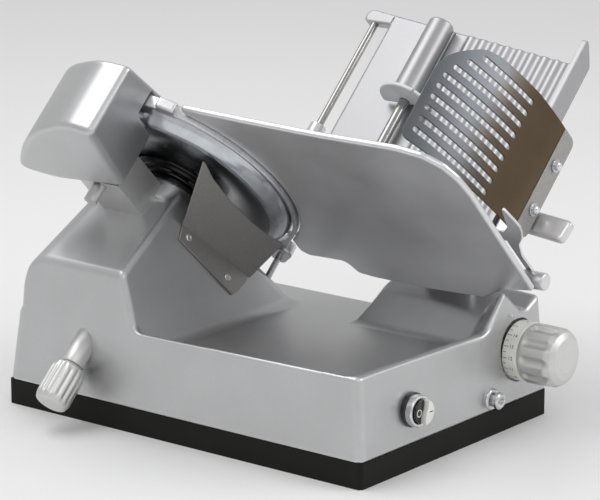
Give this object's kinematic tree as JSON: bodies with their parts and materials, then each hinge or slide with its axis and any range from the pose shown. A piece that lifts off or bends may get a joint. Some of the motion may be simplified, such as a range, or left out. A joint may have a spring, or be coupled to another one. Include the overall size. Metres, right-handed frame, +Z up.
{
  "type": "gravity feed slicer",
  "caption": "Electric gravity-feed slicer with a tilted round blade, sliding carriage, slotted hand guard, thickness dial and top sharpener.",
  "frame": {"origin": "centre of the pan's underside, on the bench", "axes": "+Z up, -Y towards the operator's front with the switch and dial, +X towards the sliding carriage, -X towards the slice tray's open side"},
  "size_m": [0.5059, 0.5356, 0.3769],
  "materials": {
    "bare_aluminium": "machined",
    "belt_rubber": "matt",
    "black_pan": "matt black",
    "black_plastic": "gloss black",
    "blade_steel": "polished",
    "board": "matt",
    "brass": "turned",
    "cast_aluminium": "satin, finely blasted and anodised",
    "chrome": "polished",
    "disc_clear": "translucent",
    "guard_mirror": "mirror polished stainless",
    "motor_paint": "satin",
    "rubber": "matt",
    "steel": "bright",
    "stone": "fine grit",
    "white_plastic": "gloss white"
  },
  "bodies": {
    "base": {"base_pan": "black_pan", "rubber_feet": "rubber", "pan_screws": "steel", "main_housing": "cast_aluminium", "motor": "motor_paint", "casting_screws": "steel", "drive_belt": "belt_rubber", "spindle_bearings": "steel", "hub_collar": "black_plastic", "tie_rod_sleeve": "cast_aluminium", "blade_guard_ring": "cast_aluminium", "guard_ring_rod": "steel", "deflector_plate": "steel", "deflector_screws": "steel", "blade_cover": "cast_aluminium", "gauge_bushes": "brass", "dial_bush": "brass", "switch_frame": "black_plastic", "lock_sleeve": "chrome", "carriage_rail": "chrome", "rail_guide_bar": "chrome", "sharpener_bracket": "cast_aluminium", "control_board": "board", "cable_gland": "black_plastic"},
    "blade_rotor": {"blade": "blade_steel", "blade_flange": "black_plastic", "blade_screws": "steel", "blade_spindle": "steel", "blade_pulley": "bare_aluminium"},
    "motor_rotor": {"motor_shaft": "steel"},
    "cover_lock": {"cover_tie_rod": "chrome", "tie_rod_knob": "cast_aluminium"},
    "gauge": {"gauge_plate": "cast_aluminium", "gauge_carrier": "bare_aluminium", "gauge_screws": "steel"},
    "dial": {"index_spindle": "steel", "thickness_dial": "white_plastic", "thickness_knob": "cast_aluminium"},
    "off_half": {"switch_off": "black_plastic"},
    "on_half": {"switch_on": "white_plastic"},
    "lock_push": {"lock_button": "chrome"},
    "carriage": {"carriage_trolley": "bare_aluminium", "trolley_bushes": "brass", "carriage_arm": "bare_aluminium", "carriage_table": "cast_aluminium", "carriage_fence": "cast_aluminium", "rear_rod": "chrome", "pusher_rod": "chrome", "stop_disc": "disc_clear", "hand_guard": "guard_mirror", "guard_strip": "cast_aluminium", "guard_bolts": "chrome", "carriage_handle": "cast_aluminium"},
    "pusher": {"pusher_arm": "cast_aluminium", "pusher_plate": "steel"},
    "sharpener": {"sharpener_cover": "cast_aluminium", "stone_frame": "bare_aluminium"},
    "clamp_pin": {"sharpener_pin": "chrome"},
    "grinding_wheel": {"grinding_stone": "stone"},
    "deburring_wheel": {"deburring_stone": "stone"}
  },
  "joints": [
    {"name": "blade_spin", "type": "hinge", "parent": "base", "child": "blade_rotor", "pos_m": [-0.00754, 0.1245, 0.21654], "axis": [-0.7193, 0, -0.6947], "continuous": true},
    {"name": "motor_spin", "type": "hinge", "parent": "base", "child": "motor_rotor", "pos_m": [-0.0107, 0.1245, 0.07586], "axis": [-0.7193, 0, -0.6947], "continuous": true},
    {"name": "cover_release", "type": "hinge", "parent": "base", "child": "cover_lock", "pos_m": [-0.155, 0.1245, 0.07413], "axis": [-0.7193, 0, -0.6947], "range_deg": [0, 720]},
    {"name": "gauge_slide", "type": "slide", "parent": "base", "child": "gauge", "axis": [-0.7193, 0, -0.6947], "range_m": [0, 0.015]},
    {"name": "dial_turn", "type": "hinge", "parent": "base", "child": "dial", "pos_m": [0.1085, -0.22, 0.0765], "axis": [0, -1, 0], "range_deg": [0, 336]},
    {"name": "switch_off_push", "type": "slide", "parent": "base", "child": "off_half", "axis": [0, 1, 0], "range_m": [0, 0.003], "stiffness_N_per_m": 600},
    {"name": "switch_on_push", "type": "slide", "parent": "base", "child": "on_half", "axis": [0, 1, 0], "range_m": [0, 0.003], "stiffness_N_per_m": 600},
    {"name": "lock_press", "type": "slide", "parent": "base", "child": "lock_push", "axis": [0, 1, 0], "range_m": [0, 0.004], "stiffness_N_per_m": 600},
    {"name": "carriage_slide", "type": "slide", "parent": "base", "child": "carriage", "axis": [0, 1, 0], "range_m": [-0.025, 0.25]},
    {"name": "pusher_slide", "type": "slide", "parent": "carriage", "child": "pusher", "axis": [-0.7193, 0, -0.6947], "range_m": [-0.075, 0.04]},
    {"name": "sharpener_lift", "type": "slide", "parent": "base", "child": "sharpener", "axis": [-0.6947, 0, 0.7193], "range_m": [0, 0.03]},
    {"name": "clamp_pin_turn", "type": "hinge", "parent": "base", "child": "clamp_pin", "pos_m": [-0.11103, 0.142, 0.22294], "axis": [-0.7193, 0, -0.6947], "range_deg": [0, 360]},
    {"name": "grinding_spin", "type": "hinge", "parent": "sharpener", "child": "grinding_wheel", "pos_m": [-0.11585, 0.12, 0.33158], "axis": [-0.7193, 0, -0.6947], "continuous": true},
    {"name": "deburring_spin", "type": "hinge", "parent": "sharpener", "child": "deburring_wheel", "pos_m": [-0.10891, 0.16, 0.32439], "axis": [-0.7193, 0, -0.6947], "continuous": true}
  ],
  "couplings": [
    {"joint": "motor_spin", "follows": "blade_spin", "ratio": 3.6},
    {"joint": "dial_turn", "follows": "gauge_slide", "rad_per_m": 390.95}
  ]
}
